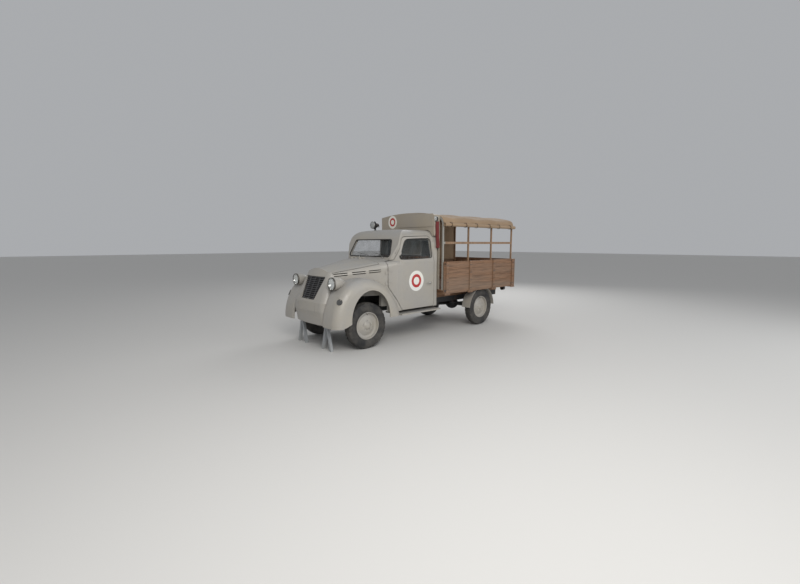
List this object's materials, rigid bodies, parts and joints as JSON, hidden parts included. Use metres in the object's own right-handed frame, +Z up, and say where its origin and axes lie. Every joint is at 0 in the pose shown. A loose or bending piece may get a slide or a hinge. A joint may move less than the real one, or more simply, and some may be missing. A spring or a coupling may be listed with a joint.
{
  "type": "light military ambulance truck with a canvas-covered bed",
  "caption": "Bonneted light army ambulance truck: rounded steel cab, wooden dropside bed, hooped canvas tilt with its left curtain rolled up.",
  "frame": {"origin": "on the floor, under the middle of the truck's overall length and width", "axes": "+X forward along the truck, +Y to its left, +Z up"},
  "size_m": [4.3999, 1.654, 2.0998],
  "materials": {
    "grey_paint": "light warm grey brushed-on gloss paint, slightly uneven, chalky on top surfaces",
    "board_paint": "light grey painted plywood board, smoother than the cab",
    "chassis_black": "black chassis paint with dust and rust at the edges",
    "engine_iron": "dark oily cast iron",
    "exhaust_steel": "rusty heat-stained steel",
    "grille_paint": "dark grey satin slats",
    "lamp_glass": "fluted clear lens over a silvered bowl",
    "window_glass": "clear flat glass, a little dusty",
    "lamp_black": "black enamel",
    "black_rubber": "matt black rubber",
    "tyre": "dusty black tyre",
    "bakelite": "black moulded wheel rim",
    "seat_leather": "worn brown leathercloth",
    "floor_rubber": "ribbed rubber mat over sheet steel",
    "wood": "brown stained softwood boards, worn at the edges",
    "canvas": "tan cotton canvas, sun-faded, slightly creased",
    "stand_paint": "grey painted steel stand"
  },
  "bodies": {
    "truck": {"frame": "chassis_black", "front_axle": "chassis_black", "rear_axle": "chassis_black", "springs": "chassis_black", "power_unit": "engine_iron", "exhaust": "exhaust_steel", "fuel_tank": "chassis_black", "nose": "grey_paint", "grille": "grille_paint", "bonnet_sides": "grey_paint", "wing_left": "grey_paint", "wing_right": "grey_paint", "headlamps": "grey_paint", "lamp_lenses": "lamp_glass", "cab_shell": "grey_paint", "cab_floor": "floor_rubber", "cab_glass": "window_glass", "dashboard": "grey_paint", "steering_column": "bakelite", "seat": "seat_leather", "radiator": "engine_iron", "running_boards": "grey_paint", "bed_floor": "wood", "front_wall": "board_paint", "rear_mudguards": "grey_paint", "tilt_hoops": "wood", "tilt_cover": "canvas", "roof_lamp": "lamp_black", "tail_lamps": "lamp_black", "axle_stands": "stand_paint"},
    "knuckle_left": {"knuckle_left": "chassis_black"},
    "knuckle_right": {"knuckle_right": "chassis_black"},
    "wheel_front_left": {"wheel_front_left": "grey_paint", "tyre_front_left": "tyre"},
    "wheel_front_right": {"wheel_front_right": "grey_paint", "tyre_front_right": "tyre"},
    "wheel_rear_left": {"wheel_rear_left": "grey_paint", "tyre_rear_left": "tyre"},
    "wheel_rear_right": {"wheel_rear_right": "grey_paint", "tyre_rear_right": "tyre"},
    "door_left": {"door_left": "grey_paint", "door_glass_left": "window_glass"},
    "door_right": {"door_right": "grey_paint", "door_glass_right": "window_glass"},
    "bonnet": {"bonnet": "grey_paint"},
    "dropside_left": {"dropside_left": "wood"},
    "dropside_right": {"dropside_right": "wood"},
    "tailgate": {"tailgate": "wood"}
  },
  "joints": [
    {"name": "steer_left", "type": "hinge", "parent": "truck", "child": "knuckle_left", "pos_m": [1.56, 0.545, 0.345], "axis": [0, 0, 1], "range_deg": [-28, 28]},
    {"name": "steer_right", "type": "hinge", "parent": "truck", "child": "knuckle_right", "pos_m": [1.56, -0.545, 0.345], "axis": [0, 0, 1], "range_deg": [-28, 28]},
    {"name": "spin_front_left", "type": "hinge", "parent": "knuckle_left", "child": "wheel_front_left", "pos_m": [1.56, 0.635, 0.345], "axis": [0, 1, 0], "continuous": true},
    {"name": "spin_front_right", "type": "hinge", "parent": "knuckle_right", "child": "wheel_front_right", "pos_m": [1.56, -0.635, 0.345], "axis": [0, 1, 0], "continuous": true},
    {"name": "spin_rear_left", "type": "hinge", "parent": "truck", "child": "wheel_rear_left", "pos_m": [-1.14, 0.665, 0.345], "axis": [0, 1, 0], "continuous": true},
    {"name": "spin_rear_right", "type": "hinge", "parent": "truck", "child": "wheel_rear_right", "pos_m": [-1.14, -0.665, 0.345], "axis": [0, 1, 0], "continuous": true},
    {"name": "door_left_hinge", "type": "hinge", "parent": "truck", "child": "door_left", "pos_m": [1.118, 0.651, 0.9], "axis": [0, 0, -1], "range_deg": [0, 65]},
    {"name": "door_right_hinge", "type": "hinge", "parent": "truck", "child": "door_right", "pos_m": [1.118, -0.651, 0.9], "axis": [0, 0, 1], "range_deg": [0, 65]},
    {"name": "bonnet_hinge", "type": "hinge", "parent": "truck", "child": "bonnet", "pos_m": [1.22, 0, 1.328], "axis": [0, -1, 0], "range_deg": [0, 50]},
    {"name": "dropside_left_hinge", "type": "hinge", "parent": "truck", "child": "dropside_left", "pos_m": [-0.4, 0.818, 0.676], "axis": [-1, 0, 0], "range_deg": [0, 180]},
    {"name": "dropside_right_hinge", "type": "hinge", "parent": "truck", "child": "dropside_right", "pos_m": [-0.4, -0.818, 0.676], "axis": [1, 0, 0], "range_deg": [0, 180]},
    {"name": "tailgate_hinge", "type": "hinge", "parent": "truck", "child": "tailgate", "pos_m": [-2.191, 0, 0.676], "axis": [0, -1, 0], "range_deg": [0, 180]}
  ],
  "couplings": [
    {"joint": "steer_right", "follows": "steer_left", "ratio": 1}
  ]
}
